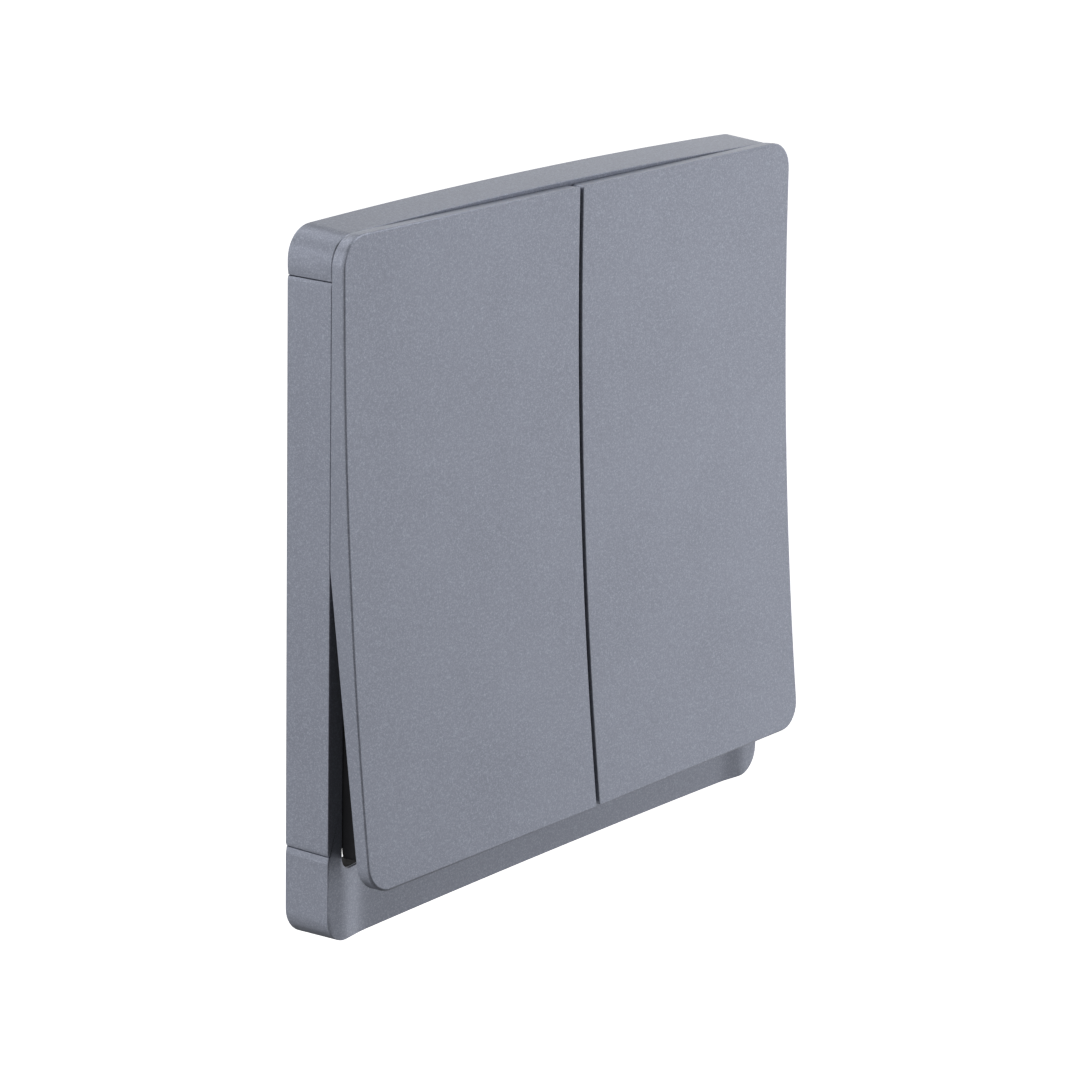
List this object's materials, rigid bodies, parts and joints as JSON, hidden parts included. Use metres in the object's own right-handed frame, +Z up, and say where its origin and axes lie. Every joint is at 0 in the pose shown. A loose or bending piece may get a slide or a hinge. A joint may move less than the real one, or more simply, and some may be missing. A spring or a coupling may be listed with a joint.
{
  "type": "rocker wall switch",
  "caption": "Metallic grey rocker wall switch for a square plate, with wide dished rocker buttons, seesaw contacts and screw terminals inside.",
  "frame": {"origin": "centre of the cover frame's back plane, which lies on the wall", "axes": "+X to the right seen from the room, +Y into the wall, +Z up"},
  "size_m": [0.086, 0.0273, 0.0867],
  "materials": {
    "paint": "moulded plastic with a fine-grained metallic grey spray coat, satin",
    "zinc_steel": "bright zinc-plated steel",
    "dark_plastic": "dark grey moulded plastic, fine texture",
    "white_plastic": "ivory-white moulded plastic",
    "grey_plastic": "light grey moulded plastic",
    "acetal": "natural white acetal, smooth",
    "red_nylon": "red nylon, smooth",
    "spring_steel": "drawn spring wire",
    "brass": "stamped brass, bright",
    "copper": "stamped copper alloy, bright",
    "silver": "silver-faced contact rivet"
  },
  "bodies": {
    "housing_assembly": {"cover_frame": "paint", "mounting_bridge": "zinc_steel", "rocker_carrier": "dark_plastic", "module_housing": "white_plastic", "module_cover": "grey_plastic", "module_screw_top_left": "zinc_steel", "module_screw_top_right": "zinc_steel", "module_screw_bottom_left": "zinc_steel", "module_screw_bottom_right": "zinc_steel", "common_terminal_left": "brass", "fixed_rivet_left_upper": "silver", "fixed_contact_left_upper": "brass", "fixed_rivet_left_lower": "silver", "fixed_contact_left_lower": "brass", "terminal_clamp_left_upper": "brass", "terminal_screw_left_upper": "zinc_steel", "terminal_clamp_left_lower": "brass", "terminal_screw_left_lower": "zinc_steel", "terminal_clamp_left_common": "brass", "terminal_screw_left_common": "zinc_steel", "common_terminal_right": "brass", "fixed_rivet_right_upper": "silver", "fixed_contact_right_upper": "brass", "fixed_rivet_right_lower": "silver", "fixed_contact_right_lower": "brass", "terminal_clamp_right_upper": "brass", "terminal_screw_right_upper": "zinc_steel", "terminal_clamp_right_lower": "brass", "terminal_screw_right_lower": "zinc_steel", "terminal_clamp_right_common": "brass", "terminal_screw_right_common": "zinc_steel"},
    "rocker_left": {"rocker_button_left": "paint", "actuator_left": "acetal", "plunger_spring_left": "spring_steel"},
    "plunger_left": {"plunger_left": "red_nylon"},
    "seesaw_left": {"seesaw_contact_left": "copper", "seesaw_rivet_left_upper": "silver", "seesaw_rivet_left_lower": "silver"},
    "rocker_right": {"rocker_button_right": "paint", "actuator_right": "acetal", "plunger_spring_right": "spring_steel"},
    "plunger_right": {"plunger_right": "red_nylon"},
    "seesaw_right": {"seesaw_contact_right": "copper", "seesaw_rivet_right_upper": "silver", "seesaw_rivet_right_lower": "silver"}
  },
  "joints": [
    {"name": "rocker_left_tilt", "type": "hinge", "parent": "housing_assembly", "child": "rocker_left", "pos_m": [-0.0109, -0.0048, 0.0037], "axis": [1, 0, 0], "range_deg": [0, 7.2]},
    {"name": "plunger_left_slide", "type": "slide", "parent": "rocker_left", "child": "plunger_left", "axis": [0, -0.998, 0.0628], "range_m": [0, 0.0003], "stiffness_N_per_m": 400, "springref_m": -0.001, "deforming": ["plunger_spring_left"]},
    {"name": "seesaw_left_rock", "type": "hinge", "parent": "housing_assembly", "child": "seesaw_left", "pos_m": [-0.0109, 0.0082, 0.0037], "axis": [1, 0, 0], "range_deg": [-11.9, 0]},
    {"name": "rocker_right_tilt", "type": "hinge", "parent": "housing_assembly", "child": "rocker_right", "pos_m": [0.0109, -0.0048, 0.0037], "axis": [1, 0, 0], "range_deg": [0, 7.2]},
    {"name": "plunger_right_slide", "type": "slide", "parent": "rocker_right", "child": "plunger_right", "axis": [0, -0.998, 0.0628], "range_m": [0, 0.0003], "stiffness_N_per_m": 400, "springref_m": -0.001, "deforming": ["plunger_spring_right"]},
    {"name": "seesaw_right_rock", "type": "hinge", "parent": "housing_assembly", "child": "seesaw_right", "pos_m": [0.0109, 0.0082, 0.0037], "axis": [1, 0, 0], "range_deg": [-11.9, 0]}
  ],
  "couplings": [
    {"joint": "seesaw_left_rock", "follows": "rocker_left_tilt", "ratio": -1.65},
    {"joint": "seesaw_right_rock", "follows": "rocker_right_tilt", "ratio": -1.65}
  ]
}
